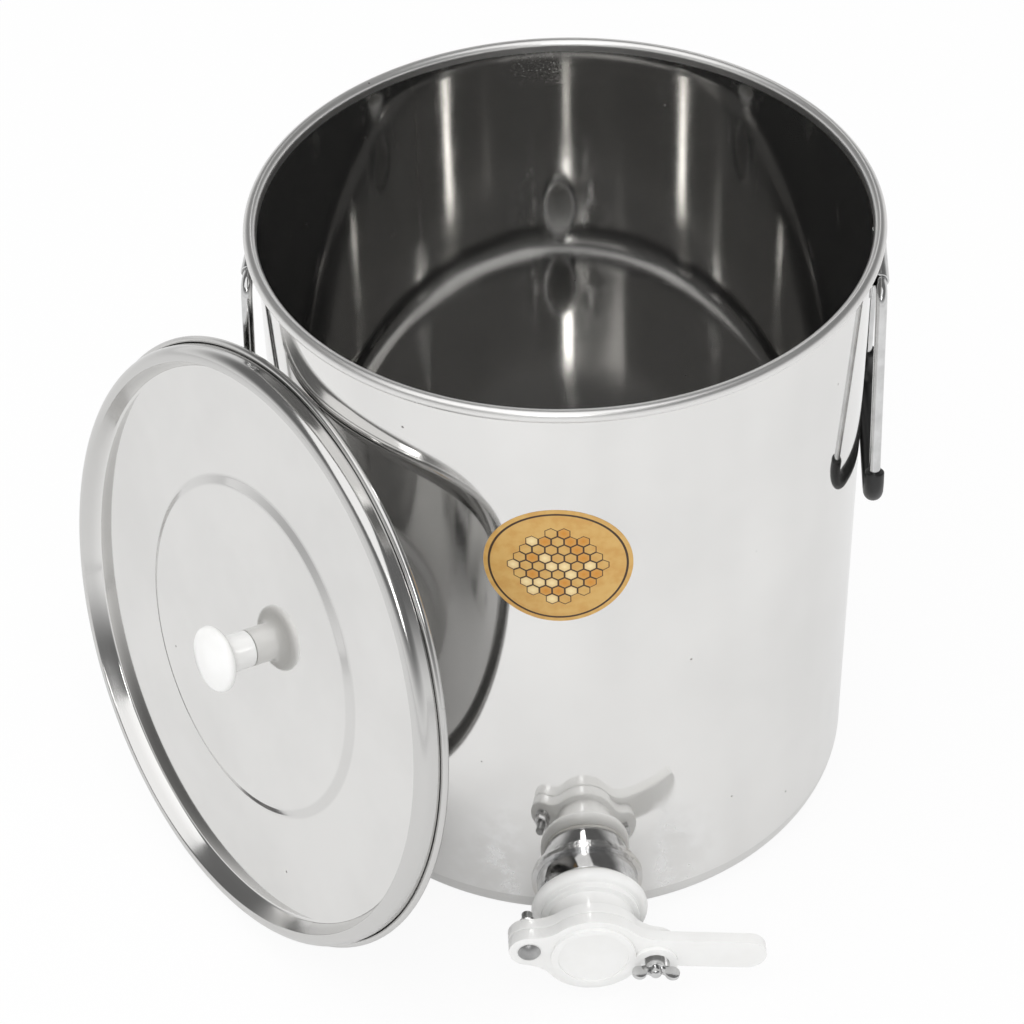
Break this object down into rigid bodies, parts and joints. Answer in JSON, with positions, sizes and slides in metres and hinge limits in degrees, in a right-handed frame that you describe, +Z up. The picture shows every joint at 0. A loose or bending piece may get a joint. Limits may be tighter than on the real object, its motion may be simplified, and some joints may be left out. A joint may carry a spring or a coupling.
{
  "type": "honey settling tank",
  "caption": "Open stainless drum with a rolled rim, drop handles and a plastic swing gate low on the front, for settling and drawing off honey; its knobbed lid leans beside it.",
  "frame": {"origin": "Centre of the drum's flat base, on the floor.", "axes": "+Z up along the drum's axis; the honey gate points to -Y, and +X is to the right of someone facing the gate."},
  "size_m": [0.4571, 0.4065, 0.376],
  "materials": {
    "mirror_steel": "mirror-polished stainless sheet",
    "satin_steel": "satin stainless",
    "weld_steel": "stainless weld, brushed",
    "bright_fasteners": "bright stainless fasteners",
    "gate_plastic": "white food-grade plastic, glossy",
    "knob_plastic": "white plastic, glossy",
    "grip_sleeve": "black vinyl sleeve",
    "gasket_rubber": "pale food-grade rubber",
    "insert_brass": "brass, turned",
    "label_film": "printed film sticker, satin"
  },
  "bodies": {
    "tank": {"tank_barrel": "mirror_steel", "barrel_weld": "weld_steel", "tank_bottom": "satin_steel", "bottom_weld": "weld_steel", "outlet_socket": "satin_steel", "outlet_weld": "weld_steel", "gate_gasket": "gasket_rubber", "gate_body": "gate_plastic", "pivot_screw": "bright_fasteners", "pivot_washer": "bright_fasteners", "pivot_nut": "bright_fasteners", "clamp_bolt": "bright_fasteners", "right_handle_clip": "satin_steel", "left_handle_clip": "satin_steel", "label": "label_film"},
    "blade": {"gate_blade": "gate_plastic"},
    "wing_nut": {"wing_nut": "bright_fasteners"},
    "right_bail": {"right_bail": "bright_fasteners", "right_grip": "grip_sleeve"},
    "left_bail": {"left_bail": "bright_fasteners", "left_grip": "grip_sleeve"},
    "lid": {"lid_shell": "mirror_steel", "lid_knob": "knob_plastic", "knob_insert": "insert_brass", "knob_screw": "bright_fasteners", "knob_washer": "bright_fasteners"}
  },
  "joints": [
    {"name": "blade_swing", "type": "hinge", "parent": "tank", "child": "blade", "pos_m": [-0.0346, -0.21, 0.04045], "axis": [0, -1, 0], "range_deg": [0, 95]},
    {"name": "wing_nut_turn", "type": "hinge", "parent": "tank", "child": "wing_nut", "pos_m": [0.03335, -0.2155, 0.02738], "axis": [0, -1, 0], "continuous": true},
    {"name": "right_bail_swing", "type": "hinge", "parent": "tank", "child": "right_bail", "pos_m": [0.16263, -0.01566, 0.349], "axis": [-0.0958, -0.9954, 0], "range_deg": [0, 160]},
    {"name": "left_bail_swing", "type": "hinge", "parent": "tank", "child": "left_bail", "pos_m": [-0.16263, 0.01566, 0.349], "axis": [0.0958, 0.9954, 0], "range_deg": [0, 10]},
    {"name": "lid_lift", "type": "slide", "parent": "tank", "child": "lid", "axis": [-0.802, -0.5574, 0.2147], "range_m": [0, 0.25]}
  ]
}
